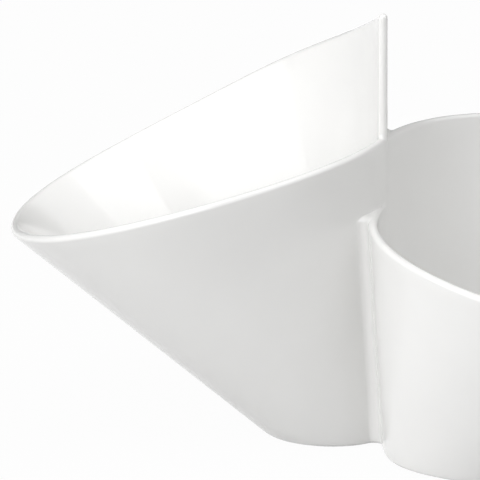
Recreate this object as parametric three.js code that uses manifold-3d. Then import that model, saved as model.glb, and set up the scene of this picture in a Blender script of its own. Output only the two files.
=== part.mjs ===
// Chip and dip bowl. One ribbon of white moulded wall starts at a tall free edge, winds round a narrow dip
// bowl, passes the seam where the two bowls touch, and winds round a wide chip bowl back to the seam.
// Each bowl is a leaning round cone whose straight line at the seam stands upright. The two floors carry
// soft round pads pressed into sockets underneath.
// Millimetres. +Z is up, +X runs from the dip bowl to the chip bowl, +Y is the side of the tall back wall.

import * as THREE from 'three';
import { mergeVertices } from 'three/addons/utils/BufferGeometryUtils.js';
import Module from 'manifold-3d';

// Shell
const WALL = 3.6;
const FLOOR = 4;
const FOOT_ROUND = 1.5;
const SEAM_FILLET = 4;

// Dip bowl: length of its foot along X, half angle of its cone, and how far its back wall bows in at the seam
const DIP_FOOT_LENGTH = 44.7;
const DIP_HALF_ANGLE_DEG = 26.4;
const DIP_BACK_BOW_DEG = 20.5;
const DIP_BOW_END_DEG = 168;

// Chip bowl
const CHIP_FOOT_LENGTH = 113;
const CHIP_HALF_ANGLE_DEG = 26.3;

// Width of the ribbon, from the underside to the rim along the wall, at each quarter turn from the free edge
const FREE_EDGE_WIDTH = 175.7;
const DIP_BACK_WIDTH = 150.4;
const DIP_LIP_WIDTH = 134.9;
const DIP_FRONT_WIDTH = 133.2;
const SEAM_WIDTH = 124.7;
const CHIP_BACK_WIDTH = 127;
const CHIP_FAR_WIDTH = 117.5;
const CHIP_FRONT_WIDTH = 108.8;
const CHIP_END_WIDTH = 98;

// How fast the width changes, for each quarter turn, at the free edge and at the ribbon's other end
const FREE_EDGE_SLOPE = -55;
const CHIP_END_SLOPE = 2;

// Pads under the floors
const PAD_DIAMETER = 9;
const PAD_PROUD = 0.6;
const PAD_EDGE_ROUND = 0.4;
const SOCKET_DEPTH = 1.6;
const SOCKET_CLEARANCE = 0.3;
const GLUE_GAP = 0.2;
const DIP_PAD_INSET = 9.5;
const DIP_PAD_COUNT = 3;
const CHIP_PAD_INSET = 13;
const CHIP_PAD_COUNT = 4;

// Pieces reach this far below the underside until one flat cut trims them, and the webs' hollow faces and
// the chip bowl's end lie this deep inside the walls that they join, so that no two faces lie on each other
const TRIM = 3;
const JOIN_SINK = 0.4;

// Slivers thinner than this are closed up where pieces are joined
const JOIN_TOLERANCE = 0.02;

// How finely the round shapes are faceted
const STATIONS_PER_TURN = 72;
const RIM_STEPS = 6;
const BEAD_STEPS = 3;
const WEB_LEVELS = 12;
const WEB_ARC_STEPS = 6;
const ROUND_SEGMENTS = 24;

// Turn round the free edge, from its side to its tip, at which the bead's facets start
const BEAD_END_DEG = 80;

// Steps of the searches for an angle or a distance, and the distance within which vertices are one
const HALVINGS = 40;
const ANGLE_STEP = 1e-4;
const SAME_POINT = 1e-5;

const QUARTER = Math.PI / 2;
const TURN = 2 * Math.PI;
const HALF_WALL = WALL / 2;
const rad = THREE.MathUtils.degToRad;

const wasm = await Module();
wasm.setup();

const dip = {
  side: -1,
  halfAngle: rad(DIP_HALF_ANGLE_DEG),
  footLength: DIP_FOOT_LENGTH,
  bow: dipBow,
  widths: [FREE_EDGE_WIDTH, DIP_BACK_WIDTH, DIP_LIP_WIDTH, DIP_FRONT_WIDTH, SEAM_WIDTH],
  startSlope: FREE_EDGE_SLOPE,
  endSlope: (CHIP_BACK_WIDTH - DIP_FRONT_WIDTH) / 2,
  padInset: DIP_PAD_INSET,
  padCount: DIP_PAD_COUNT,
};

const chip = {
  side: 1,
  halfAngle: rad(CHIP_HALF_ANGLE_DEG),
  footLength: CHIP_FOOT_LENGTH,
  bow: () => 0,
  widths: [SEAM_WIDTH, CHIP_BACK_WIDTH, CHIP_FAR_WIDTH, CHIP_FRONT_WIDTH, CHIP_END_WIDTH],
  startSlope: (CHIP_BACK_WIDTH - DIP_FRONT_WIDTH) / 2,
  endSlope: CHIP_END_SLOPE,
  padInset: CHIP_PAD_INSET,
  padCount: CHIP_PAD_COUNT,
};

// Angle by which the dip bowl's back wall lies inside its round cone: it leaves the seam turned by
// DIP_BACK_BOW_DEG and eases back onto the cone at DIP_BOW_END_DEG
function dipBow(angle) {
  const end = rad(DIP_BOW_END_DEG);
  if (angle >= end) return 0;
  const slope = Math.tan(rad(DIP_BACK_BOW_DEG)) * Math.sin(rad(DIP_HALF_ANGLE_DEG));
  return slope * angle * (1 - angle / end) ** 2;
}

// Height of the cone's point below the underside, from the length of the foot
function apexDepth(bowl) {
  return bowl.footLength / Math.tan(2 * bowl.halfAngle);
}

// Unit direction of the wall's straight line at an angle round the bowl, where 0 is the seam and a quarter
// turn is the back
function lineAt(bowl, angle) {
  const { side, halfAngle } = bowl;
  const opening = halfAngle - bowl.bow(angle);
  const axis = new THREE.Vector3(side * Math.sin(halfAngle), 0, Math.cos(halfAngle));
  const across = new THREE.Vector3(-side * Math.cos(halfAngle), 0, Math.sin(halfAngle));
  const spoke = across.multiplyScalar(Math.cos(angle)).add(new THREE.Vector3(0, Math.sin(angle), 0));
  return axis.multiplyScalar(Math.cos(opening)).addScaledVector(spoke, Math.sin(opening)).normalize();
}

// Unit direction along the ribbon, and the outward normal of the wall
function frameAt(bowl, angle) {
  const line = lineAt(bowl, angle);
  const tangent = lineAt(bowl, angle + ANGLE_STEP).sub(lineAt(bowl, angle - ANGLE_STEP)).normalize();
  const normal = new THREE.Vector3().crossVectors(tangent, line).multiplyScalar(-bowl.side).normalize();
  return { line, tangent, normal };
}

// Point of the wall at a height over the underside, offset outward from the middle of the wall
function wallPoint(bowl, angle, height, offset) {
  const { line, normal } = frameAt(bowl, angle);
  const along = (apexDepth(bowl) + height - offset * normal.z) / line.z;
  const apex = new THREE.Vector3(0, 0, -apexDepth(bowl));
  return apex.addScaledVector(line, along).addScaledVector(normal, offset);
}

// Ribbon width at an angle: a smooth curve through the widths at the quarter turns
function widthAt(bowl, angle) {
  const { widths } = bowl;
  const last = widths.length - 1;
  const k = Math.min(Math.floor(angle / QUARTER), last - 1);
  const t = angle / QUARTER - k;
  const slopeAt = (i) => {
    if (i === 0) return bowl.startSlope ?? widths[1] - widths[0];
    if (i === last) return bowl.endSlope ?? widths[last] - widths[last - 1];
    return (widths[i + 1] - widths[i - 1]) / 2;
  };
  const rise = widths[k + 1] - widths[k];
  const a = slopeAt(k) - rise;
  const b = rise - slopeAt(k + 1);
  return widths[k] + t * rise + t * (1 - t) * ((1 - t) * a + t * b);
}

// One slice across the wall: rounded foot, outer face, full round rim and inner face.
// half is half of its thickness, and lead moves it along the ribbon, ahead of the free edge.
function wallSlice(bowl, angle, half = HALF_WALL, lead = 0) {
  const { line, tangent, normal } = frameAt(bowl, angle);
  const shift = tangent.multiplyScalar(-lead);
  const round = Math.min(FOOT_ROUND, half);
  const above = wallPoint(bowl, angle, round, half);
  const corner = wallPoint(bowl, angle, 0, half);
  const below = wallPoint(bowl, angle, 0, half - round);
  const middle = corner.clone().multiplyScalar(2).add(above).add(below).divideScalar(4);
  const slice = [wallPoint(bowl, angle, -TRIM, half - round), below, middle, above];
  const rimCentre = wallPoint(bowl, angle, 0, 0).addScaledVector(line, widthAt(bowl, angle) - HALF_WALL);
  for (let k = 0; k <= RIM_STEPS; k++) {
    const turn = Math.PI * k / RIM_STEPS;
    const point = rimCentre.clone().addScaledVector(normal, half * Math.cos(turn));
    slice.push(point.addScaledVector(line, half * Math.sin(turn)));
  }
  slice.push(wallPoint(bowl, angle, -TRIM, -half));
  return slice.map((point) => point.add(shift));
}

// Closed solid through a row of rings that all have the same number of points, with a fan over each end
function loft(rings) {
  const count = rings[0].length;
  const positions = rings.flat().flatMap((point) => point.toArray());
  const faces = [];
  for (let r = 0; r + 1 < rings.length; r++) {
    for (let k = 0; k < count; k++) {
      const a = r * count + k;
      const b = r * count + (k + 1) % count;
      faces.push([a, b, b + count], [a, b + count, a + count]);
    }
  }
  const top = (rings.length - 1) * count;
  for (let k = 1; k + 1 < count; k++) {
    faces.push([0, k + 1, k], [top, top + k, top + k + 1]);
  }
  return solid(positions, outward(positions, faces).flat());
}

// Faces turned so that the enclosed volume counts as positive
function outward(positions, faces) {
  const at = (i) => new THREE.Vector3().fromArray(positions, 3 * i);
  const volume = faces.reduce((sum, [a, b, c]) => sum + at(a).dot(at(b).cross(at(c))), 0);
  return volume > 0 ? faces : faces.map(([a, b, c]) => [a, c, b]);
}

function solid(positions, indices) {
  const vertProperties = new Float32Array(positions);
  const triVerts = new Uint32Array(indices);
  const mesh = new wasm.Mesh({ numProp: 3, vertProperties, triVerts, tolerance: JOIN_TOLERANCE });
  return new wasm.Manifold(mesh);
}

function solidOf(geometry) {
  const bare = geometry.clone();
  bare.deleteAttribute('normal');
  bare.deleteAttribute('uv');
  const merged = mergeVertices(bare, SAME_POINT);
  return solid(merged.attributes.position.array, merged.index.array);
}

function geometryOf(manifold) {
  const mesh = manifold.getMesh();
  const geometry = new THREE.BufferGeometry();
  geometry.setAttribute('position', new THREE.BufferAttribute(mesh.vertProperties, 3));
  geometry.setIndex(new THREE.BufferAttribute(mesh.triVerts, 1));
  geometry.computeVertexNormals();
  return geometry;
}

// Slices of the wall from one angle to another
function wallSlices(bowl, from, to) {
  const steps = Math.round(STATIONS_PER_TURN * (to - from) / TURN);
  return Array.from({ length: steps + 1 }, (_, k) => wallSlice(bowl, from + (to - from) * k / steps));
}

// Slices that round off the free edge, which stands on the seam
function beadSlices() {
  return Array.from({ length: BEAD_STEPS }, (_, k) => {
    const turn = rad(BEAD_END_DEG) * (BEAD_STEPS - k) / BEAD_STEPS;
    return wallSlice(dip, 0, HALF_WALL * Math.cos(turn), HALF_WALL * Math.sin(turn));
  });
}

// Floor slab that reaches into the middle of the wall all round
function floorSlab(bowl) {
  const ringAt = (height) => Array.from({ length: STATIONS_PER_TURN },
    (_, k) => wallPoint(bowl, TURN * k / STATIONS_PER_TURN, height, 0));
  return loft([ringAt(-TRIM), ringAt(FLOOR)]);
}

// Angle at which a wall, offset outward, lies at a distance from the seam along Y
function angleAtReach(bowl, sign, reach, height, offset) {
  let low = 0;
  let high = QUARTER;
  for (let k = 0; k < HALVINGS; k++) {
    const mid = (low + high) / 2;
    const beyond = sign * wallPoint(bowl, webAngle(sign, mid), height, offset).y > reach;
    if (beyond) high = mid;
    else low = mid;
  }
  return webAngle(sign, (low + high) / 2);
}

// Angle round a bowl counted from the seam to the back (+1) or to the front (-1)
function webAngle(sign, angle) {
  return sign > 0 ? angle : TURN - angle;
}

// Slice of the web that fills the narrow groove between the two bowls beside the seam, at one height.
// Its hollow face is part of a circle that touches the outer faces of both walls.
function webSlice(sign, height) {
  const offset = HALF_WALL + SEAM_FILLET;
  let near = 0;
  let far = dip.footLength;
  for (let k = 0; k < HALVINGS; k++) {
    const reach = (near + far) / 2;
    const dipX = wallPoint(dip, angleAtReach(dip, sign, reach, height, offset), height, offset).x;
    const chipX = wallPoint(chip, angleAtReach(chip, sign, reach, height, offset), height, offset).x;
    if (chipX > dipX) far = reach;
    else near = reach;
  }
  const reach = (near + far) / 2;
  const dipAngle = angleAtReach(dip, sign, reach, height, offset);
  const chipAngle = angleAtReach(chip, sign, reach, height, offset);
  const centre = wallPoint(dip, dipAngle, height, offset);
  const first = wallPoint(dip, dipAngle, height, HALF_WALL - JOIN_SINK);
  const last = wallPoint(chip, chipAngle, height, HALF_WALL - JOIN_SINK);
  const slice = [new THREE.Vector3(0, 0, height), wallPoint(dip, dipAngle, height, 0)];
  const bearing = (point) => Math.atan2(sign * (centre.y - point.y), point.x - centre.x);
  for (let k = 0; k <= WEB_ARC_STEPS; k++) {
    const share = k / WEB_ARC_STEPS;
    const turn = THREE.MathUtils.lerp(bearing(first), bearing(last), share);
    const radius = THREE.MathUtils.lerp(first.distanceTo(centre), last.distanceTo(centre), share);
    const point = new THREE.Vector3(radius * Math.cos(turn), -sign * radius * Math.sin(turn), 0);
    slice.push(point.add(centre));
  }
  slice.push(wallPoint(chip, chipAngle, height, 0));
  return slice;
}

function web(sign, top) {
  const levels = Array.from({ length: WEB_LEVELS + 1 }, (_, k) => (top + TRIM) * k / WEB_LEVELS - TRIM);
  return loft(levels.map((height) => webSlice(sign, height)));
}

// Centres of the pads on an oval that follows the edge of the foot
function padPlaces(bowl) {
  const halfLength = bowl.footLength / 2;
  const halfWidth = halfLength * Math.sqrt(1 - Math.tan(bowl.halfAngle) ** 2);
  return Array.from({ length: bowl.padCount }, (_, k) => {
    const turn = TURN * (k + 0.5) / bowl.padCount;
    const x = bowl.side * (halfLength - (halfLength - bowl.padInset) * Math.cos(turn));
    return new THREE.Vector3(x, (halfWidth - bowl.padInset) * Math.sin(turn), 0);
  });
}

function turned(profile) {
  const points = profile.map(([x, z]) => new THREE.Vector2(x, z));
  return new THREE.LatheGeometry(points, ROUND_SEGMENTS).rotateX(QUARTER);
}

function socketCut(place) {
  const radius = PAD_DIAMETER / 2 + SOCKET_CLEARANCE;
  const profile = [[0, -FLOOR], [radius, -FLOOR], [radius, SOCKET_DEPTH], [0, SOCKET_DEPTH]];
  return solidOf(turned(profile).translate(place.x, place.y, 0));
}

function padGeometry() {
  const radius = PAD_DIAMETER / 2;
  const top = SOCKET_DEPTH - GLUE_GAP;
  const flat = radius - PAD_EDGE_ROUND;
  const edge = PAD_EDGE_ROUND - PAD_PROUD;
  return turned([[0, -PAD_PROUD], [flat, -PAD_PROUD], [radius, edge], [radius, top], [0, top]]);
}

// Block that takes away everything below the underside
function trimCut() {
  const reach = 2 * (DIP_FOOT_LENGTH + DIP_LIP_WIDTH + CHIP_FOOT_LENGTH + CHIP_FAR_WIDTH);
  return solidOf(new THREE.BoxGeometry(reach, reach, 2 * TRIM).translate(0, 0, -TRIM));
}

function bodyGeometry() {
  const places = [...padPlaces(dip), ...padPlaces(chip)];
  const chipFront = wallSlices(chip, TURN / 2, TURN).slice(0, -1);
  const pieces = [
    loft([...beadSlices(), ...wallSlices(dip, 0, TURN / 2)]),
    loft(wallSlices(dip, TURN / 2, TURN)),
    loft(wallSlices(chip, 0, TURN / 2)),
    loft([...chipFront, wallSlice(chip, TURN, HALF_WALL - JOIN_SINK)]),
    floorSlab(dip),
    floorSlab(chip),
    web(1, SEAM_WIDTH - HALF_WALL),
    web(-1, CHIP_END_WIDTH - HALF_WALL),
  ];
  const whole = pieces.reduce((sum, piece) => sum.add(piece)).subtract(trimCut());
  return geometryOf(places.reduce((body, place) => body.subtract(socketCut(place)), whole));
}

const shellMaterial = new THREE.MeshStandardMaterial({ color: 0xf1f0ec, roughness: 0.2, metalness: 0 });
const padMaterial = new THREE.MeshStandardMaterial({ color: 0xd6d6d2, roughness: 0.7, metalness: 0 });

const server = new THREE.Group();

function addMesh(name, geometry, material, place = new THREE.Vector3()) {
  const mesh = new THREE.Mesh(geometry, material);
  mesh.name = name;
  mesh.position.copy(place);
  server.add(mesh);
}

addMesh('bowl_body', bodyGeometry(), shellMaterial.clone());
for (const [label, bowl] of [['dip_pad', dip], ['chip_pad', chip]]) {
  padPlaces(bowl).forEach((place, k) => {
    addMesh(`${label}_${k + 1}`, padGeometry(), padMaterial.clone(), place);
  });
}

// The origin is the middle of the footprint, on the surface that the pads stand on
const box = new THREE.Box3().setFromObject(server);
const middle = box.getCenter(new THREE.Vector3());
server.position.set(-middle.x, -middle.y, -box.min.z);

export default server;
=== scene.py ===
# %% [markdown]
# # A chip and dip bowl in white moulded plastic
# The bowl is one ribbon of wall. It starts at a tall free edge, winds round a narrow dip bowl, passes the seam
# where the two bowls touch, and winds on round a wide chip bowl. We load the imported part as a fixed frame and
# build a finer skin over it, in the same place and in metres.

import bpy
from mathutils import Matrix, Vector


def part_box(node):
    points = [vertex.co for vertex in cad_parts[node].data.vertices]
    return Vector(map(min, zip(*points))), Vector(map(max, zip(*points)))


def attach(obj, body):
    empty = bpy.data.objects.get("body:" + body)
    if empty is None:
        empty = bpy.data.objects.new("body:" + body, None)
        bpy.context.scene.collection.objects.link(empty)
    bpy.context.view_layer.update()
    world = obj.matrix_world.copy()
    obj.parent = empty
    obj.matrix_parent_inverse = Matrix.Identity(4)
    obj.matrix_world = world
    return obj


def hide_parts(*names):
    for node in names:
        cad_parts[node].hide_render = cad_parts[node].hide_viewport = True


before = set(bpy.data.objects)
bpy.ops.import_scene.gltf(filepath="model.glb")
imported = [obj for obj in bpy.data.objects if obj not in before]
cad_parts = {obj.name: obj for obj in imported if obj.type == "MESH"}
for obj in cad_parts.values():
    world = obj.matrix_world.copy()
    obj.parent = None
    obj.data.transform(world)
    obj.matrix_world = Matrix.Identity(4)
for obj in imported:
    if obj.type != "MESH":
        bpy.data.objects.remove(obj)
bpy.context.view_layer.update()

import math

import bmesh
import bpy
import numpy as np
from mathutils import Vector

print("frame nodes:", sorted(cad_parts))

# %% [markdown]
# ## Sizes
# The walls are drawn in millimetres from the foot of the seam, because the rules of the shape are simplest there:
# each bowl is a leaning round cone whose straight line at the seam stands upright. The widths are those of the
# ribbon at each quarter turn. One function moves finished points into the frame, in metres.

# %% Sizes of the ribbon
WALL = 3.6
HALF = WALL / 2
TURN = 2 * math.pi
HALF_TURN = math.pi
PER_METRE = 1000
SEAM_FOOT = np.array([-27.07, -3.763, 0.6])

DIP = dict(side=-1, half_angle=math.radians(26.4), foot=44.7, bow=math.radians(20.5), bow_end=math.radians(168),
           widths=(175.7, 150.4, 134.9, 133.2, 124.7), slopes=(-55, -3.1))
CHIP = dict(side=1, half_angle=math.radians(26.3), foot=113, bow=0, bow_end=1,
            widths=(124.7, 127, 117.5, 108.8, 98), slopes=(-7, 2))


def to_frame(points):
    return (np.asarray(points) + SEAM_FOOT) / PER_METRE


body_low, body_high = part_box("bowl_body")
print("body box in mm:", [round(PER_METRE * v, 1) for v in (*body_low, *body_high)])

# %% [markdown]
# ## The wall as a rule
# At each angle round a bowl the wall is a straight line from the cone's point, so a place on it is a direction
# and a length. The dip bowl's back wall bows in a little beside the seam. A modelled and bent strip could give
# the same look, but a rule can be asked for any point, and that helps at the seam later on.

# %% Straight lines of the cones
ANGLE_STEP = 1e-4


def apex_depth(bowl):
    return bowl["foot"] / math.tan(2 * bowl["half_angle"])


def line_at(bowl, angle):
    side, half_angle, end = bowl["side"], bowl["half_angle"], bowl["bow_end"]
    inside = np.clip(angle, 0, end)
    bowed = math.tan(bowl["bow"]) * math.sin(half_angle) * inside * (1 - inside / end) ** 2
    opening = half_angle - bowed
    axis = np.array([side * math.sin(half_angle), 0, math.cos(half_angle)])
    across = np.array([-side * math.cos(half_angle), 0, math.sin(half_angle)])
    spoke = np.cos(angle)[:, None] * across + np.sin(angle)[:, None] * np.array([0, 1.0, 0])
    line = np.cos(opening)[:, None] * axis + np.sin(opening)[:, None] * spoke
    return line / np.linalg.norm(line, axis=1, keepdims=True)


def wall_frame(bowl, angle):
    """Directions at each angle: up along the wall, along the ribbon, and outward."""
    angle = np.atleast_1d(np.asarray(angle, float))
    line = line_at(bowl, angle)
    ahead = np.clip(angle + ANGLE_STEP, 0, TURN)
    behind = np.clip(angle - ANGLE_STEP, 0, TURN)
    along = line_at(bowl, ahead) - line_at(bowl, behind)
    along /= np.linalg.norm(along, axis=1, keepdims=True)
    outward = -bowl["side"] * np.cross(along, line)
    return line, along, outward / np.linalg.norm(outward, axis=1, keepdims=True)


def wall_point(bowl, angle, height, offset):
    """Point at a height over the underside, and at an offset outward from the middle of the wall."""
    line, _, outward = wall_frame(bowl, angle)
    length = (apex_depth(bowl) + height - offset * outward[:, 2]) / line[:, 2]
    return length[:, None] * line + offset * outward - np.array([0, 0, apex_depth(bowl)])


print("foot of the dip bowl's wall, across from the seam:", wall_point(DIP, HALF_TURN, 0, 0).round(1)[0])

# %% [markdown]
# ## The ribbon's width
# The rim swings up to the free edge and down to the low lip, like a ribbon cut with shears. A smooth curve runs
# through the width at each quarter turn, with a slope that is given only at its two ends. A few numbers are
# easier to set against a photo than a rim with many points.

# %% Width and rim
def ribbon_width(bowl, angle):
    quarter = np.atleast_1d(np.asarray(angle, float)) / (math.pi / 2)
    width = np.array(bowl["widths"], float)
    slope = np.empty(len(width))
    slope[1:-1] = (width[2:] - width[:-2]) / 2
    slope[0], slope[-1] = bowl["slopes"]
    k = np.clip(np.floor(quarter).astype(int), 0, len(width) - 2)
    t = quarter - k
    rise = width[k + 1] - width[k]
    bend = (1 - t) * (slope[k] - rise) + t * (rise - slope[k + 1])
    return width[k] + t * rise + t * (1 - t) * bend


def rim_centre(bowl, angle):
    """Middle of the full round at the top of the wall."""
    line, _, _ = wall_frame(bowl, angle)
    return wall_point(bowl, angle, 0, 0) + (ribbon_width(bowl, angle) - HALF)[:, None] * line


print("dip bowl's rim at the lip:", rim_centre(DIP, HALF_TURN).round(1)[0])

# %% [markdown]
# ## A slice across the wall
# The moulded wall has a rounded foot, straight faces and a full round rim. Solidify and Bevel could add these to
# a thin sheet, but the rim is where the light catches, so we draw the whole section ourselves. Each slice reaches
# a little below the underside, and one flat cut takes that off later.

# %% Slice
TRIM = 3.0
FOOT_ROUND = 1.5
FOOT_STEPS = 4
ROWS = 26
RIM_STEPS = 16


def wall_slice(bowl, angle, half=HALF, lead=0.0):
    """Closed section, half its thickness each way, moved ahead along the ribbon by lead."""
    line, along, outward = (v[0] for v in wall_frame(bowl, angle))
    foot_round = min(FOOT_ROUND, half)
    corner = wall_point(bowl, angle, 0, half)[0]
    low = wall_point(bowl, angle, 0, half - foot_round)[0]
    high = wall_point(bowl, angle, foot_round, half)[0]
    points = [wall_point(bowl, angle, -TRIM, half - foot_round)[0]]
    for t in np.linspace(0, 1, FOOT_STEPS + 1):
        points.append((1 - t) ** 2 * low + 2 * t * (1 - t) * corner + t * t * high)
    top = rim_centre(bowl, angle)[0]
    outer_top, inner_top = top + half * outward, top - half * outward
    inner_low = wall_point(bowl, angle, -TRIM, -half)[0]
    points += [high + (outer_top - high) * k / ROWS for k in range(1, ROWS)]
    for k in range(RIM_STEPS + 1):
        turn = math.pi * k / RIM_STEPS
        points.append(top + half * (math.cos(turn) * outward + math.sin(turn) * line))
    points += [inner_top + (inner_low - inner_top) * k / ROWS for k in range(1, ROWS + 1)]
    return np.array(points) - lead * along


print("points in a slice:", len(wall_slice(DIP, 0)))

# %% [markdown]
# ## Skinning slices
# A skin joins each slice to the next with a strip of faces and closes both ends, as lofting does in other
# programs. The result is a closed solid, which a Boolean needs. Faces are made triangles at once, so that nothing
# twists later.

# %% Skin
def mesh_object(name, points, faces):
    mesh = bpy.data.meshes.new(name)
    mesh.from_pydata([tuple(p) for p in points], [], faces)
    made = bmesh.new()
    made.from_mesh(mesh)
    bmesh.ops.triangulate(made, faces=made.faces)
    bmesh.ops.recalc_face_normals(made, faces=made.faces)
    made.to_mesh(mesh)
    made.free()
    piece = bpy.data.objects.new(name, mesh)
    bpy.context.scene.collection.objects.link(piece)
    print(name, "has", len(mesh.polygons), "triangles")
    return piece


def skin(name, rings):
    """Closed solid through rings of points, with a flat face over each end."""
    count = len(rings[0])
    faces = []
    for r in range(len(rings) - 1):
        for k in range(count):
            a, b = r * count + k, r * count + (k + 1) % count
            faces.append((a, b, b + count, a + count))
    faces.append(tuple(range(count)))
    faces.append(tuple((len(rings) - 1) * count + k for k in range(count)))
    return mesh_object(name, np.concatenate(rings), faces)


# %% [markdown]
# ## A tucked foot
# Beside the front groove the chip bowl's wall isn't quite a cone: near its foot it draws in a few millimetres
# before it swings out. We shift the points sideways, most at the foot and nothing at the seam and the rim. The
# same function with the other sign takes the shift off again, which the distances below need.

# %% Tuck
TUCK = 3.7
TUCK_TOP = 95.0
TUCK_GROWS, TUCK_FADES = (0, 14), (18, 45)
TUCK_SIDE = 60


def smooth_step(value, start, end):
    t = np.clip((value - start) / (end - start), 0, 1)
    return t * t * (3 - 2 * t)


def tuck(points, way):
    """Draws the chip bowl's front wall in (way 1), or lets it out again (way -1)."""
    x, y, z = points.T
    along = smooth_step(-y, *TUCK_GROWS) * (1 - smooth_step(-y, *TUCK_FADES)) * (x < TUCK_SIDE)
    depth = TUCK * along * np.maximum(1 - z / TUCK_TOP, 0)
    return points + way * depth[:, None] * np.array([1.0, 0, 0])


deepest = tuck(np.array([[0.0, -TUCK_GROWS[1], 0.0]]), 1)[0, 0]
print("deepest tuck:", deepest.round(1), "mm")

# %% [markdown]
# ## Four lengths of ribbon
# The ribbon crosses itself at the seam, so it is made in four lengths that a Boolean joins. That is simpler than
# weaving the rims together by hand. The free edge is a bead: slices that grow from almost nothing to the full
# wall along a quarter circle. Where two lengths meet across from the seam, one starts with a slightly slimmer
# slice inside the other, because faces that just touch would leave open edges.

# %% Lengths of ribbon
STATIONS = 145
CROWDING = 0.62
ANGLE_GAP = 0.01
BEAD_STEPS = 10
BEAD_START = 86
OVERLAP = 0.03
SLIM = 0.01


def station_angles(start, end):
    """Angles that crowd together beside the seam, where the shape needs the most detail."""
    steps = np.linspace(0, 1, STATIONS)
    whole = TURN * (steps - CROWDING * np.sin(TURN * steps) / TURN)
    inside = whole[(whole > start + ANGLE_GAP) & (whole < end - ANGLE_GAP)]
    return np.concatenate([[start], inside, [end]])


back_angles = station_angles(0, HALF_TURN)
front_angles = station_angles(HALF_TURN + OVERLAP, TURN)
bead = [wall_slice(DIP, 0, HALF * math.cos(t), HALF * math.sin(t))
        for t in np.radians(np.linspace(BEAD_START, 0, BEAD_STEPS, endpoint=False))]
back_wall = skin("back_wall", bead + [wall_slice(DIP, a) for a in back_angles])
front_start = wall_slice(DIP, HALF_TURN - OVERLAP, HALF - SLIM)
front_wall = skin("front_wall", [front_start] + [wall_slice(DIP, a) for a in front_angles])
chip_back = skin("chip_back", [wall_slice(CHIP, a) for a in back_angles])
chip_start = wall_slice(CHIP, HALF_TURN - OVERLAP, HALF - SLIM)
chip_end = wall_slice(CHIP, TURN, HALF - SLIM)
chip_slices = [tuck(wall_slice(CHIP, a), 1) for a in front_angles[:-1]]
chip_front = skin("chip_front", [chip_start] + chip_slices + [chip_end])

# %% [markdown]
# ## Distance to one wall
# The real moulding has no sharp inner corners: where a rim runs into a wall, or two walls part, the plastic
# flows in a hollow fillet. A bevel can't follow two walls that leave each other so slowly. So we write down how
# far any point lies from a wall, and blend such distances afterwards.

# %% Distance to a wall
TINY = 1e-9


def wall_distance(bowl, points, low_angle, high_angle):
    """Offset from the middle of the wall, height over the rim's middle, reach past the wall's end, and the wall's
    directions: up, along and outward."""
    side, half_angle = bowl["side"], bowl["half_angle"]
    from_apex = points + np.array([0, 0, apex_depth(bowl)])
    across = np.array([-side * math.cos(half_angle), 0, math.sin(half_angle)])
    angle = np.arctan2(from_apex[:, 1], from_apex @ across)
    middle = (low_angle + high_angle) / 2
    angle = middle + (angle - middle + math.pi) % TURN - math.pi
    angle = np.clip(angle, low_angle, high_angle)
    line, along, outward = wall_frame(bowl, angle)
    offset = np.einsum("ij,ij->i", from_apex, outward)
    height = np.einsum("ij,ij->i", from_apex, line)
    rim = apex_depth(bowl) / line[:, 2] + ribbon_width(bowl, angle) - HALF
    past = np.einsum("ij,ij->i", from_apex, along)
    return offset, height - rim, past, line, along, outward


def rounded(offset, over, past, line, along, outward):
    """Distance to a wall with round ends, and its direction."""
    reach = offset[:, None] * outward + over[:, None] * line + past[:, None] * along
    length = np.maximum(np.linalg.norm(reach, axis=1), TINY)
    return length - HALF, reach / length[:, None]


in_groove = np.array([[0.0, -30.0, 60.0]])
print("a point in the front groove lies off the walls' middles by",
      [wall_distance(*wall)[0].round(1)[0] for wall in ((DIP, in_groove, HALF_TURN, TURN),
                                                        (CHIP, in_groove, HALF_TURN, TURN))], "mm")

# %% [markdown]
# ## Blending two distances
# A plain union takes the smaller of two distances and leaves a crease. A smooth union rounds the crease off. Here
# its radius follows the angle between the two surfaces, as a moulder's fillet does: wide in a narrow groove, and
# nothing where one surface runs on into the other.

# %% Blend
WIDEST_BLEND = 5.0
NEARLY_OPPOSITE = -0.999


def blend(first, second, square_corner, power=2.0):
    """Smooth union of two distances with their directions. square_corner is the radius where the surfaces meet
    at a right angle. Power 2 makes a round hollow, and a lower power a flatter one."""
    (a, na), (b, nb) = first, second
    cosine = np.clip(np.einsum("ij,ij->i", na, nb), NEARLY_OPPOSITE, 1)
    radius = np.minimum(square_corner * (1 - cosine) / (1 + cosine), WIDEST_BLEND)
    ga, gb = np.maximum(radius - a, 0), np.maximum(radius - b, 0)
    length = (ga ** power + gb ** power) ** (1 / power)
    mixed = length > TINY
    pa, pb = ((g / np.maximum(length, TINY)) ** (power - 1) for g in (ga, gb))
    pull = pa[:, None] * na + pb[:, None] * nb
    nearest = np.where((a < b)[:, None], na, nb)
    return np.maximum(radius, np.minimum(a, b)) - length, np.where(mixed[:, None], pull, nearest)


corner_sides = [(np.zeros(1), direction[None]) for direction in np.eye(3)[:2]]
print("a blend of 1 mm fills a square corner by", -blend(*corner_sides, 1.0)[0].round(2)[0], "mm")

# %% [markdown]
# ## Distances to the ribbon
# Three lengths meet at the seam: the one that runs through it, the dip bowl's back wall with the free edge, and
# the chip bowl's front wall. The last one brings the web in the front groove with it, cut off as high as its rim.
# Beyond its own side of the seam a length counts as far away.

# %% Three lengths as distances
FRONT_BLEND = 1.0
WEB_POWER = 1.4
DIP_SIDE, CHIP_SIDE = -20, 40
FAR = 1000.0


def ribbon_through(points):
    """Front of the dip bowl and back of the chip bowl: the length that runs through the seam."""
    front = points[:, 1] < 0
    a = wall_distance(DIP, points, HALF_TURN, TURN)
    b = wall_distance(CHIP, points, 0, HALF_TURN)
    none = np.zeros(len(points))
    da, na = rounded(a[0], np.maximum(a[1], 0), none, *a[3:])
    db, nb = rounded(b[0], np.maximum(b[1], 0), none, *b[3:])
    return np.where(front, da, db), np.where(front[:, None], na, nb)


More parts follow.
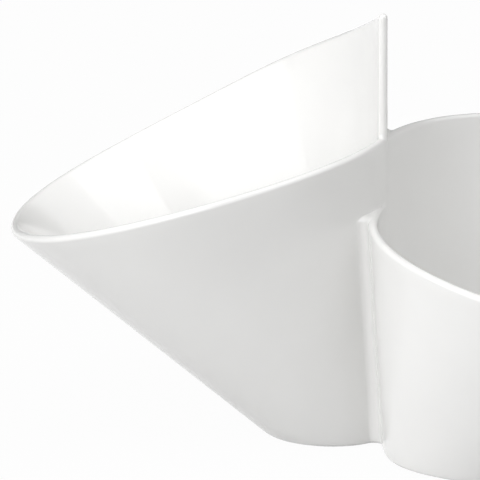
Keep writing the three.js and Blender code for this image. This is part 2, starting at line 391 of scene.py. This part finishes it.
def ribbon_back(points):
    """Back of the dip bowl, from the free edge to the lip."""
    offset, over, past, line, along, outward = wall_distance(DIP, points, 0, HALF_TURN)
    ahead = (points[:, 1] < 0) & (points[:, 0] > DIP_SIDE)
    lead = np.where(ahead, np.minimum(past, 0), 0)
    seam_top = DIP["widths"][-1] - HALF
    under = np.where(ahead, np.minimum(points[:, 2] - seam_top, 0), 0)
    d, n = rounded(offset, np.maximum(over, 0) + under, lead, line, along, outward)
    gone = (points[:, 1] < 0) & (points[:, 0] <= DIP_SIDE)
    return np.where(gone, FAR, d), n


def ribbon_front(points):
    """Front of the chip bowl, which ends at the seam, and the web in the groove beside it, as high as its rim."""
    offset, over, past, line, along, outward = wall_distance(CHIP, tuck(points, -1), HALF_TURN, TURN)
    behind = points[:, 1] > 0
    none = np.zeros(len(points))
    lead = np.where(behind & (points[:, 0] < CHIP_SIDE), np.maximum(past, 0), 0)
    chip = rounded(offset, none, lead, line, along, outward)
    dip = wall_distance(DIP, points, HALF_TURN, TURN)
    d, n = blend(chip, rounded(dip[0], none, none, *dip[3:]), FRONT_BLEND, WEB_POWER)
    d, n = np.where(behind, chip[0], d), np.where(behind[:, None], chip[1], n)
    thick, over = np.maximum(d + HALF, 0), np.maximum(over, 0)
    length = np.maximum(np.hypot(thick, over), TINY)
    gone = behind & (points[:, 0] >= CHIP_SIDE)
    return np.where(gone, FAR, length - HALF), (thick[:, None] * n + over[:, None] * line) / length[:, None]


print("distances in the front groove:",
      [part(in_groove)[0].round(1)[0] for part in (ribbon_through, ribbon_back, ribbon_front)])

# %% [markdown]
# ## The blended surface
# Behind the seam the moulding has a fillet like the one in front, and where the chip bowl's rim dies into the dip
# bowl's wall only a fine crease is left. Both are blends of the three distances. Any point can then slide down
# the slope of the result until it lies on the surface.

# %% Blended distance
BACK_BLEND = 1.5
CREASE_BLEND = 0.4
FLATTEST = 0.1


def ribbon_distance(points):
    upper = blend(ribbon_through(points), ribbon_back(points), BACK_BLEND)
    return blend(upper, ribbon_front(points), CREASE_BLEND)


def slope_at(points, step=0.02):
    """How fast the blended distance grows along each axis. On the surface this is the way outward."""
    sides = [ribbon_distance(points + s)[0] - ribbon_distance(points - s)[0] for s in step * np.eye(3)]
    return np.stack(sides, 1) / (2 * step)


def settle(points, turns, longest, sink=0.0):
    """Moves points down the slope until they lie on the blended surface, or sunk below it."""
    points = points.copy()
    for _ in range(turns):
        slope = slope_at(points)
        size = np.maximum(np.einsum("ij,ij->i", slope, slope), FLATTEST)
        step = np.clip((ribbon_distance(points)[0] + sink) / size, -longest, longest)
        points -= step[:, None] * slope
    return points


print("web in the front groove:", settle(in_groove, turns=25, longest=1.0).round(2).tolist())

# %% [markdown]
# ## A net round a sign change
# To turn distances into faces we sample them on a grid. Wherever the sign changes between two grid points, a
# square goes across, with its corners in the middle of what the cells round it cross. Marching cubes would do as
# well, but such a net has fewer and more even faces.

# %% Surface net
def surface_net(values, lines):
    """Closed net of squares round the part of a grid where the values are negative."""
    squares, spots = [], []
    for axis in range(3):
        count = values.shape[axis]
        low, high = np.take(values, range(count - 1), axis), np.take(values, range(1, count), axis)
        edge = np.argwhere((low < 0) != (high < 0))
        a, b = low[tuple(edge.T)], high[tuple(edge.T)]
        spot = edge.astype(float)
        spot[:, axis] += a / (a - b)
        u, v = (k for k in range(3) if k != axis)
        corners = []
        for du, dv in ((0, 0), (1, 0), (1, 1), (0, 1)):
            cell = edge.copy()
            cell[:, u] -= du
            cell[:, v] -= dv
            corners.append(np.ravel_multi_index(cell.T, values.shape))
        squares.append(np.stack(corners, 1))
        spots.append(spot)
    squares, spots = np.concatenate(squares), np.concatenate(spots)
    cells, number = np.unique(squares, return_inverse=True)
    number = number.reshape(squares.shape)
    middle = np.zeros((len(cells), 3))
    for k in range(4):
        np.add.at(middle, number[:, k], spots)
    middle /= np.bincount(number.ravel())[:, None]
    points = [np.interp(middle[:, k], np.arange(len(lines[k])), lines[k]) for k in range(3)]
    return np.stack(points, 1), number.tolist()


ruler = np.linspace(-1.5, 1.5, 7)
ball = np.linalg.norm(np.meshgrid(ruler, ruler, ruler), axis=0) - 1
print("a ball on a coarse grid takes", len(surface_net(ball, (ruler,) * 3)[1]), "squares")

# %% [markdown]
# ## A net over the corners
# Beside the seam the blended surface fills the narrow grooves between the two bowls with a hollow web. The net is
# sunk a hair's breadth, so where nothing is blended it stays hidden inside the walls, and only the hollow corners
# stand out. Its lines lie closer together at the foot and round the rims, and its foot is rounded as the walls' is.

# %% Net round the seam
SINK = 0.08
NET_STEP = 0.6
NET_HEIGHTS = np.concatenate([np.arange(-0.8, 3, 0.4), np.arange(4, 80, 2), np.arange(80, 132.1, NET_STEP)])
NET_LINES = (np.arange(-12, 12.1, NET_STEP), np.arange(-46, 34.1, NET_STEP), NET_HEIGHTS)

grid = np.stack(np.meshgrid(*NET_LINES, indexing="ij"), -1)
values = ribbon_distance(grid.reshape(-1, 3))[0].reshape(grid.shape[:3]) + SINK
foot = np.maximum(FOOT_ROUND - grid[..., 2], 0)
values = np.where(foot > 0, np.hypot(np.maximum(values + FOOT_ROUND, 0), foot) - FOOT_ROUND, values)
for axis in range(3):
    for border in (0, -1):
        np.moveaxis(values, axis, 0)[border] = 1
net_points, net_squares = surface_net(values, NET_LINES)
lowest, highest = ([lines[k] for lines in NET_LINES] for k in (2, -3))
loose = ((net_points > lowest) & (net_points < highest)).all(1) & (net_points[:, 2] > FOOT_ROUND)
net_points[loose] = settle(net_points[loose], turns=3, longest=0.3, sink=SINK)
corner_net = mesh_object("corner_net", net_points, net_squares)

# %% [markdown]
# ## Floors
# Each floor is a dish: flat in the middle, with a fillet that rises into the wall so that food wipes out easily.
# Rings of points follow the wall, roll down the fillet and close in on the middle. They stop just short of the
# seam, where the wall's kink would fold them.

# %% Floors
FLOOR = 4.0
FLOOR_FILLET = 6.0
FILLET_STEPS = 8
FILLET_BITE = 0.04
FLOOR_STATIONS = 120
FLOOR_RINGS = (0.66, 0.33)
SEAM_SKIP = 0.11


def floor_dish(name, bowl):
    angle = np.linspace(SEAM_SKIP, TURN - SEAM_SKIP, FLOOR_STATIONS)
    _, _, outward = wall_frame(bowl, angle)
    centre = wall_point(bowl, angle, FLOOR + FLOOR_FILLET, -HALF - FLOOR_FILLET)
    rings = [wall_point(bowl, angle, -TRIM, 0), centre + (FLOOR_FILLET + HALF) * outward]
    down = np.array([0, 0, -1.0])
    for t in np.linspace(0, 1, FILLET_STEPS + 1):
        toward = np.sin((1 - t) * math.pi / 2) * outward + np.sin(t * math.pi / 2) * down
        toward /= np.linalg.norm(toward, axis=1, keepdims=True)
        rings.append(centre + (FLOOR_FILLET + FILLET_BITE * (t == 0)) * toward)
    if bowl is CHIP:
        rings = [tuck(ring, 1) for ring in rings]
    middle = rings[-1].mean(0)
    rings += [rings[-1] * s + middle * (1 - s) for s in FLOOR_RINGS]
    return skin(name, rings)


dip_floor = floor_dish("dip_floor", DIP)
chip_floor = floor_dish("chip_floor", CHIP)

# %% [markdown]
# ## One moulding
# The lengths of ribbon, the floors and the webs become one solid, as they leave the mould. A Boolean modifier with
# the manifold solver is quick and keeps the mesh closed. Each join is turned into a plain mesh at once, so that no
# modifier is left on the piece.

# %% Join
def join(base, other, how):
    step = base.modifiers.new("join", "BOOLEAN")
    step.solver = "MANIFOLD"
    step.operation = how
    step.object = other
    evaluated = base.evaluated_get(bpy.context.evaluated_depsgraph_get())
    mesh = bpy.data.meshes.new_from_object(evaluated)
    base.modifiers.clear()
    base.data = mesh
    bpy.data.objects.remove(other)


bowl = back_wall
for other in (front_wall, chip_back, chip_front, dip_floor, chip_floor, corner_net):
    join(bowl, other, "UNION")
print("joined bowl:", len(bowl.data.vertices), "vertices,", len(bowl.data.polygons), "faces")

# %% [markdown]
# ## Underside and sockets
# A flat cut takes off what hangs below the underside. Seven shallow round sockets hold the pads, at the places
# that the frame gives, so that the pads of the part and those of the scene can't drift apart.

# %% Cut
SOCKET_RADIUS = 4.8
SOCKET_DEPTH = 1.6
SOCKET_SIDES = 48
CUT_REACH = 400.0
PADS = [name for name in sorted(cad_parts) if "pad" in name]


def pad_centre(name):
    low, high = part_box(name)
    return np.array((low + high) / 2) * PER_METRE - SEAM_FOOT


def drum(name, centre, radius, low, high):
    turn = np.linspace(0, TURN, SOCKET_SIDES, endpoint=False)
    circle = np.stack([centre[0] + radius * np.cos(turn), centre[1] + radius * np.sin(turn), 0 * turn], 1)
    return skin(name, [circle + [0, 0, low], circle + [0, 0, high]])


corners = CUT_REACH * np.array([[-1, -1, 0], [1, -1, 0], [1, 1, 0], [-1, 1, 0]])
join(bowl, skin("underside_cut", [corners - [0, 0, 2 * TRIM], corners]), "DIFFERENCE")
for name in PADS:
    join(bowl, drum("socket", pad_centre(name), SOCKET_RADIUS, -TRIM, SOCKET_DEPTH), "DIFFERENCE")
print("cut bowl:", len(bowl.data.vertices), "vertices,", len(bowl.data.polygons), "faces")

# %% [markdown]
# ## Flowing the corners together
# The joins leave tiny steps where the net comes out of the walls. Every point near the seam is drawn the last
# hair's breadth onto the blended surface. The floors aren't part of that surface, so points inside a bowl and low
# down are left alone.

# %% Settle onto the blended surface
SETTLE_BOX = (np.array([-24, -48, 2.5]), np.array([26, 36, 140]))
MERGE = 1e-3
INSIDE = -1
FLOOR_ZONE = 15

shell = bmesh.new()
shell.from_mesh(bowl.data)
bmesh.ops.triangulate(shell, faces=shell.faces)
bmesh.ops.remove_doubles(shell, verts=shell.verts, dist=MERGE)
bmesh.ops.dissolve_degenerate(shell, dist=MERGE, edges=shell.edges)
bmesh.ops.triangulate(shell, faces=shell.faces)
shell.verts.ensure_lookup_table()
place = np.array([v.co for v in shell.verts])
in_box = ((place > SETTLE_BOX[0]) & (place < SETTLE_BOX[1])).all(1)
in_dip = wall_distance(DIP, place, 0, TURN)[0] < INSIDE
in_chip = wall_distance(CHIP, tuck(place, -1), 0, TURN)[0] < INSIDE
near = np.flatnonzero(in_box & ~((in_dip | in_chip) & (place[:, 2] < FLOOR_ZONE)))
place[near] = settle(place[near], turns=6, longest=0.2)
left_over, slope = ribbon_distance(place[near])[0], slope_at(place[near])
print("settled", len(near), "points, left over at most", abs(left_over).max().round(3), "mm")

# %% [markdown]
# ## The valley inside the dip bowl
# Where the two ends of the dip bowl's wall meet at the seam, their inner faces make a shallow valley. The
# moulding has a wide round there. A parabola over the kink gives the same slope at both of its ends, and it fades
# out towards the floor and the rim.

# %% Round the valley
VALLEY_REACH = 10.0
VALLEY_LOW, VALLEY_HIGH = (10, 25), (108, 120)
VALLEY_SIDE = -8
ON_FACE = 0.5

offset = wall_distance(DIP, place, 0, TURN)[0]
x, y, z = place.T
in_valley = (abs(offset + HALF) < ON_FACE) & (abs(y) < VALLEY_REACH) & (x < 0) & (x > VALLEY_SIDE)
fade = np.interp(z, VALLEY_LOW, (0, 1)) * np.interp(z, VALLEY_HIGH, (1, 0))
fill = math.tan(DIP["bow"]) / (4 * VALLEY_REACH) * (VALLEY_REACH - abs(y)) ** 2 * fade * in_valley
place[:, 0] -= fill
print("valley filled by up to", fill.max().round(2), "mm")

# %% [markdown]
# ## Into the frame
# The finished points go into the frame in metres. Smooth shading suits the round rim and the fillets, while the
# edges of the sockets stay crisp, because they are steeper than the limit for sharp edges.

# %% Place the shell
SHARP = math.radians(40)

for vert, point in zip(shell.verts, to_frame(place)):
    vert.co = point
shell.normal_update()
shell.to_mesh(bowl.data)
shell.free()
bowl.name = bowl.data.name = "ribbon_bowl"
bowl.data.shade_smooth()
bowl.data.set_sharp_from_angle(angle=SHARP)
print("bowl:", len(bowl.data.polygons), "triangles")

# %% [markdown]
# ## Shading beside the seam
# Gloss shows every uneven triangle that the joins left. Near the seam the shading takes its directions from the
# slope of the blended surface instead, wherever a point lies on that surface and the two directions nearly agree.

# %% Shade from the blended surface
AGREE = 0.8
ON_SURFACE = 0.02
UNFILLED = 1e-6

smooth = np.zeros((len(place), 3))
good = (abs(left_over) < ON_SURFACE) & (fill[near] < UNFILLED)
smooth[near[good]] = slope[good] / np.linalg.norm(slope[good], axis=1, keepdims=True)
corner_vert = np.empty(len(bowl.data.loops), int)
bowl.data.loops.foreach_get("vertex_index", corner_vert)
shading = np.empty(3 * len(corner_vert))
bowl.data.corner_normals.foreach_get("vector", shading)
shading = shading.reshape(-1, 3)
agree = np.einsum("ij,ij->i", shading, smooth[corner_vert]) > AGREE
shading[agree] = smooth[corner_vert[agree]]
bowl.data.normals_split_custom_set(shading)
print(int(agree.sum()), "corners shaded from the blended surface")

# %% [markdown]
# ## Soft pads
# The underside isn't on show, but a bowl like this can stand on small silicone pads pressed into sockets. Seven
# times the same pad is a job for Geometry Nodes. The tree has named inputs for the sizes, in metres, and three
# small helpers keep its building readable.

# %% Pad tree and its inputs
PAD_INPUTS = {"Radius": 0.0045, "Height": 0.002, "Chamfer": 0.0004, "Ring Radius": 0.0029, "Ring Thickness": 0.00035}

tree = bpy.data.node_groups.new("grip_pad_maker", "GeometryNodeTree")
tree.interface.new_socket("Places", in_out="INPUT", socket_type="NodeSocketGeometry")
for name in PAD_INPUTS:
    tree.interface.new_socket(name, in_out="INPUT", socket_type="NodeSocketFloat")
tree.interface.new_socket("Finish", in_out="INPUT", socket_type="NodeSocketMaterial")
tree.interface.new_socket("Pads", in_out="OUTPUT", socket_type="NodeSocketGeometry")
asked = tree.nodes.new("NodeGroupInput")
given = tree.nodes.new("NodeGroupOutput")


def feed(socket, value):
    """Gives a socket a plain value, or links it to the output of another node."""
    if isinstance(value, bpy.types.NodeSocket):
        tree.links.new(value, socket)
    else:
        socket.default_value = value


def add_node(kind, **inputs):
    node = tree.nodes.new(kind)
    for name, value in inputs.items():
        feed(node.inputs[name.replace("_", " ")], value)
    return node


def combine(operation, first, second):
    node = add_node("ShaderNodeMath")
    node.operation = operation
    feed(node.inputs[0], first)
    feed(node.inputs[1], second)
    return node.outputs[0]


print("pad inputs:", [item.name for item in tree.interface.items_tree])

# %% [markdown]
# ## The pad's plug
# A pad is a short plug with a chamfer at both ends, so that it slips into its socket. An open cone, an open
# cylinder and another cone are stacked between two discs, and merging their shared circles closes the plug.

# %% Plug
PAD_SIDES = 48
PAD_MERGE = 1e-6


def lifted(mesh, height):
    rise = add_node("ShaderNodeCombineXYZ", Z=height)
    return add_node("GeometryNodeTransform", Geometry=mesh, Translation=rise.outputs[0]).outputs[0]


radius, height, chamfer = (asked.outputs[k] for k in ("Radius", "Height", "Chamfer"))
recess = combine("MULTIPLY", asked.outputs["Ring Thickness"], 0.5)
small = combine("SUBTRACT", radius, chamfer)
trunk_height = combine("SUBTRACT", combine("SUBTRACT", height, recess), combine("MULTIPLY", chamfer, 2))
lower = add_node("GeometryNodeMeshCone", Vertices=PAD_SIDES, Radius_Top=radius, Radius_Bottom=small, Depth=chamfer)
trunk = add_node("GeometryNodeMeshCylinder", Vertices=PAD_SIDES, Radius=radius, Depth=trunk_height)
upper = add_node("GeometryNodeMeshCone", Vertices=PAD_SIDES, Radius_Top=small, Radius_Bottom=radius, Depth=chamfer)
cap = add_node("GeometryNodeMeshCircle", Vertices=PAD_SIDES, Radius=small)
for side in (lower, trunk, upper):
    side.fill_type = "NONE"
cap.fill_type = "NGON"
sole = add_node("GeometryNodeFlipFaces", Mesh=cap.outputs[0])
trunk_low = combine("ADD", recess, chamfer)
trunk_middle = combine("ADD", trunk_low, combine("MULTIPLY", trunk_height, 0.5))
trunk_top = combine("ADD", trunk_low, trunk_height)
stack = add_node("GeometryNodeJoinGeometry")
for part, rise in ((sole, recess), (lower, recess), (trunk, trunk_middle), (upper, trunk_top),
                   (cap, combine("ADD", trunk_top, chamfer))):
    tree.links.new(lifted(part.outputs[0], rise), stack.inputs[0])
plug = add_node("GeometryNodeMergeByDistance", Geometry=stack.outputs[0], Distance=PAD_MERGE)
print("plug:", len(tree.nodes), "nodes")

# %% [markdown]
# ## Grip ring and copies
# A thin ring under the plug is what touches the table and grips. A circle swept along a circle makes it, and a
# Boolean node joins it to the plug. The finished pad goes onto every point that the tree is given, and the copies
# are made real, with their finish, so that an export keeps them.

# %% Ring and copies
RING_SIDES = 12

circle = add_node("GeometryNodeCurvePrimitiveCircle", Resolution=PAD_SIDES, Radius=asked.outputs["Ring Radius"])
section = add_node("GeometryNodeCurvePrimitiveCircle", Resolution=RING_SIDES, Radius=recess)
ring = add_node("GeometryNodeCurveToMesh", Curve=circle.outputs[0], Profile_Curve=section.outputs[0])
pad = add_node("GeometryNodeMeshBoolean")
pad.operation, pad.solver = "UNION", "MANIFOLD"
tree.links.new(plug.outputs[0], pad.inputs["Mesh 2"])
tree.links.new(lifted(ring.outputs[0], recess), pad.inputs["Mesh 2"])
placed = add_node("GeometryNodeInstanceOnPoints", Points=asked.outputs["Places"], Instance=pad.outputs[0])
real = add_node("GeometryNodeRealizeInstances", Geometry=placed.outputs[0])
painted = add_node("GeometryNodeSetMaterial", Geometry=real.outputs[0], Material=asked.outputs["Finish"])
tree.links.new(painted.outputs[0], given.inputs[0])
print("pad tree:", len(tree.nodes), "nodes")

# %% [markdown]
# ## A finish from noise
# No moulded surface is perfectly even: the tint drifts a little, the polish varies, and the skin has a fine
# relief. A painted texture could hold all that, but noise in object coordinates needs no image, and it stays put
# when the piece moves.

# %% Noise finish
TONE_ENDS = (0.35, 0.65)
POLISH_ENDS = (0.3, 0.7)
TONE_DETAIL, POLISH_DETAIL, GRAIN_DETAIL = 3, 4, 2
GRAIN_STRENGTH = 0.5


def noise_finish(name, tones, tone_scale, roughness, rough_scale, grain_scale, grain_depth):
    """Material whose tint, polish and fine relief come from noise."""
    material = bpy.data.materials.new(name)
    material.use_nodes = True
    nodes, links = material.node_tree.nodes, material.node_tree.links
    shader = nodes["Principled BSDF"]
    coordinates = nodes.new("ShaderNodeTexCoord")

    def noise(scale, detail):
        node = nodes.new("ShaderNodeTexNoise")
        node.inputs["Scale"].default_value = scale
        node.inputs["Detail"].default_value = detail
        links.new(coordinates.outputs["Object"], node.inputs["Vector"])
        return node.outputs["Fac"]

    ramp = nodes.new("ShaderNodeValToRGB")
    for element, position, tone in zip(ramp.color_ramp.elements, TONE_ENDS, tones):
        element.position = position
        element.color = (*tone, 1)
    links.new(noise(tone_scale, TONE_DETAIL), ramp.inputs["Fac"])
    links.new(ramp.outputs["Color"], shader.inputs["Base Color"])
    polish = nodes.new("ShaderNodeMapRange")
    polish.inputs["From Min"].default_value, polish.inputs["From Max"].default_value = POLISH_ENDS
    polish.inputs["To Min"].default_value, polish.inputs["To Max"].default_value = roughness
    links.new(noise(rough_scale, POLISH_DETAIL), polish.inputs["Value"])
    links.new(polish.outputs["Result"], shader.inputs["Roughness"])
    bump = nodes.new("ShaderNodeBump")
    bump.inputs["Strength"].default_value = GRAIN_STRENGTH
    bump.inputs["Distance"].default_value = grain_depth
    links.new(noise(grain_scale, GRAIN_DETAIL), bump.inputs["Height"])
    links.new(bump.outputs["Normal"], shader.inputs["Normal"])
    print("finish", name, "has", len(nodes), "nodes")
    return material


# %% [markdown]
# ## White gloss and silicone
# The bowl is glossy white plastic, faintly warm, with a very fine orange peel that softens its reflections. The
# pads are matt silicone, a shade greyer, with a grain that feels dry.

# %% Finishes
PLASTIC_IOR = 1.5

gloss = noise_finish("white_gloss", tones=((0.8, 0.798, 0.788), (0.825, 0.823, 0.813)), tone_scale=14,
                     roughness=(0.1, 0.17), rough_scale=45, grain_scale=420, grain_depth=0.000012)
gloss.node_tree.nodes["Principled BSDF"].inputs["IOR"].default_value = PLASTIC_IOR
silicone = noise_finish("grip_silicone", tones=((0.6, 0.6, 0.58), (0.68, 0.68, 0.66)), tone_scale=160,
                        roughness=(0.55, 0.72), rough_scale=400, grain_scale=2600, grain_depth=0.00006)
bowl.data.materials.clear()
bowl.data.materials.append(gloss)
print("bowl's finish:", bowl.data.materials[0].name)

# %% [markdown]
# ## Putting the pads in place
# The frame's pads give the points: the middle of each, at the height of the table. The tree runs once, and its
# result becomes a plain mesh. A modifier's inputs go by the sockets' identifiers, not by their names.

# %% Grip pads
def pad_place(name):
    low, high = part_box(name)
    return ((low.x + high.x) / 2, (low.y + high.y) / 2, low.z)


spots = bpy.data.meshes.new("pad_places")
spots.from_pydata([pad_place(name) for name in PADS], [], [])
pads = bpy.data.objects.new("grip_pads", spots)
bpy.context.scene.collection.objects.link(pads)
maker = pads.modifiers.new("pads", "NODES")
maker.node_group = tree
for item in tree.interface.items_tree:
    if item.name in PAD_INPUTS:
        maker[item.identifier] = PAD_INPUTS[item.name]
    if item.name == "Finish":
        maker[item.identifier] = silicone
pad_mesh = bpy.data.meshes.new_from_object(pads.evaluated_get(bpy.context.evaluated_depsgraph_get()))
pads.modifiers.clear()
pads.data = pad_mesh
pad_mesh.name = "grip_pads"
pad_mesh.shade_smooth()
pad_mesh.set_sharp_from_angle(angle=SHARP)
print("pads:", len(pad_mesh.polygons), "faces")

# %% [markdown]
# ## Camera
# The photo was taken from far away: upright lines stay parallel. An orthographic camera could do that, but a very
# long lens far off gives the same look and keeps a trace of depth.

# %% Camera
TURN_OF_VIEW = -0.3
HEIGHT_OF_VIEW = 0.286
VIEW_DISTANCE = 8.0
FRAME_WIDTH = 0.192
MIDDLE_OF_FRAME = (-0.0569, 0.0786)
SENSOR = 36

right = Vector((math.cos(TURN_OF_VIEW), -math.sin(TURN_OF_VIEW), 0))
ahead = Vector((math.sin(TURN_OF_VIEW), math.cos(TURN_OF_VIEW), 0))
up = ahead * math.sin(HEIGHT_OF_VIEW) + Vector((0, 0, math.cos(HEIGHT_OF_VIEW)))
into = ahead * math.cos(HEIGHT_OF_VIEW) - Vector((0, 0, math.sin(HEIGHT_OF_VIEW)))
target = Vector(SEAM_FOOT / PER_METRE) + right * MIDDLE_OF_FRAME[0] + up * MIDDLE_OF_FRAME[1]
lens = bpy.data.cameras.new("camera")
lens.sensor_width = SENSOR
lens.lens = SENSOR * VIEW_DISTANCE / FRAME_WIDTH
lens.clip_end = 100
camera = bpy.data.objects.new("camera", lens)
camera.location = target - into * VIEW_DISTANCE
camera.rotation_mode = "QUATERNION"
camera.rotation_quaternion = into.to_track_quat("-Z", "Y")
bpy.context.scene.collection.objects.link(camera)
bpy.context.scene.camera = camera
print("camera lens:", lens.lens)

# %% [markdown]
# ## Floor
# The bowl stands on white paper without an edge. More light would make grey paper white, but it would burn out the
# bowl too. So the floor glows white to the camera and in reflections, with a little of its own shading mixed in,
# so that the bowl's shadow stays. To the light that it throws back at the bowl it is plain grey.

# %% Floor
FLOOR_REACH = 30
FLOOR_GREY = 0.54
FLOOR_ROUGHNESS = 0.9
FLOOR_WHITE = 0.97

floor_mesh = bpy.data.meshes.new("floor")
floor_corners = [(x * FLOOR_REACH, y * FLOOR_REACH, 0) for x, y in ((-1, -1), (1, -1), (1, 1), (-1, 1))]
floor_mesh.from_pydata(floor_corners, [], [(0, 1, 2, 3)])
floor = bpy.data.objects.new("floor", floor_mesh)
bpy.context.scene.collection.objects.link(floor)
paper = bpy.data.materials.new("white_paper")
paper.use_nodes = True
nodes, links = paper.node_tree.nodes, paper.node_tree.links
matt = nodes["Principled BSDF"]
matt.inputs["Base Color"].default_value = (FLOOR_GREY, FLOOR_GREY, FLOOR_GREY, 1)
matt.inputs["Roughness"].default_value = FLOOR_ROUGHNESS
matt.inputs["Specular IOR Level"].default_value = 0
glow = nodes.new("ShaderNodeEmission")
glow.inputs["Strength"].default_value = 1
blank = nodes.new("ShaderNodeMixShader")
blank.inputs["Fac"].default_value = FLOOR_WHITE
links.new(matt.outputs["BSDF"], blank.inputs[1])
links.new(glow.outputs["Emission"], blank.inputs[2])
path = nodes.new("ShaderNodeLightPath")
sees_white = path.outputs["Is Camera Ray"]
for ray in ("Is Glossy Ray", "Is Transmission Ray"):
    either = nodes.new("ShaderNodeMath")
    either.operation = "MAXIMUM"
    links.new(sees_white, either.inputs[0])
    links.new(path.outputs[ray], either.inputs[1])
    sees_white = either.outputs["Value"]
seen = nodes.new("ShaderNodeMixShader")
links.new(sees_white, seen.inputs["Fac"])
links.new(matt.outputs["BSDF"], seen.inputs[1])
links.new(blank.outputs["Shader"], seen.inputs[2])
links.new(seen.outputs["Shader"], nodes["Material Output"].inputs["Surface"])
floor_mesh.materials.append(paper)
print("floor:", FLOOR_REACH, "m each way")

# %% [markdown]
# ## Lamps
# Two soft boxes show in the glossy inside of the dip bowl: a large one at the left in front, and a smaller one
# high over the right side. Four weaker panels, in front, high at the left, at the right and behind, lift the
# sides that these leave dark. Each lamp is given as the bowl sees it: turned so far from straight ahead, so high
# above the table, in degrees, and so far away, in metres.

# %% Lamps
BOWL_MIDDLE = Vector((-0.11, 0.03, 0.08))
LAMPS = {
    "left_softbox": dict(turn=-40, height=25, distance=1.6, size=(2.1, 1.5), power=18.4),
    "top_softbox": dict(turn=76, height=63, distance=1.4, size=(1.0, 1.0), power=6.8),
    "front_panel": dict(turn=0, height=14, distance=2.0, size=(1.2, 0.8), power=11.2),
    "high_left_panel": dict(turn=-25, height=60, distance=1.8, size=(0.8, 0.8), power=8.0),
    "right_panel": dict(turn=105, height=32, distance=1.8, size=(1.4, 1.0), power=4.8),
    "back_panel": dict(turn=150, height=50, distance=1.8, size=(1.2, 1.2), power=4.6),
}


def add_lamp(name, turn, height, distance, size, power):
    light = bpy.data.lights.new(name, "AREA")
    light.shape = "RECTANGLE"
    light.size, light.size_y = size
    light.energy = power
    made = bpy.data.objects.new(name, light)
    turn, height = math.radians(turn), math.radians(height)
    toward = Vector((math.sin(turn) * math.cos(height), -math.cos(turn) * math.cos(height), math.sin(height)))
    made.location = BOWL_MIDDLE + distance * toward
    made.rotation_mode = "QUATERNION"
    made.rotation_quaternion = (-toward).to_track_quat("-Z", "Y")
    made.visible_camera = False
    bpy.context.scene.collection.objects.link(made)
    print(name, [round(v, 2) for v in made.location])


for name, setting in LAMPS.items():
    add_lamp(name, **setting)

# %% [markdown]
# ## Room light
# A studio's pale walls throw a little light back from everywhere. A weak white world stands for them, so that no
# corner goes black. The Standard view shows colours as they are written.

# %% World
ROOM_LIGHT = 0.12

world = bpy.data.worlds.new("studio")
bpy.context.scene.world = world
world.use_nodes = True
room = world.node_tree.nodes["Background"]
room.inputs["Color"].default_value = (1, 1, 1, 1)
room.inputs["Strength"].default_value = ROOM_LIGHT
bpy.context.scene.view_settings.view_transform = "Standard"
print("room light:", ROOM_LIGHT)

# %% [markdown]
# ## Handing over
# Each finished piece rides on the frame's root body and stands for the solids under it, which are hidden.

# %% Hand over to the frame
for piece, solids, slot in ((bowl, ["bowl_body"], "shell"), (pads, PADS, "pad")):
    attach(piece, "root")
    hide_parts(*solids)
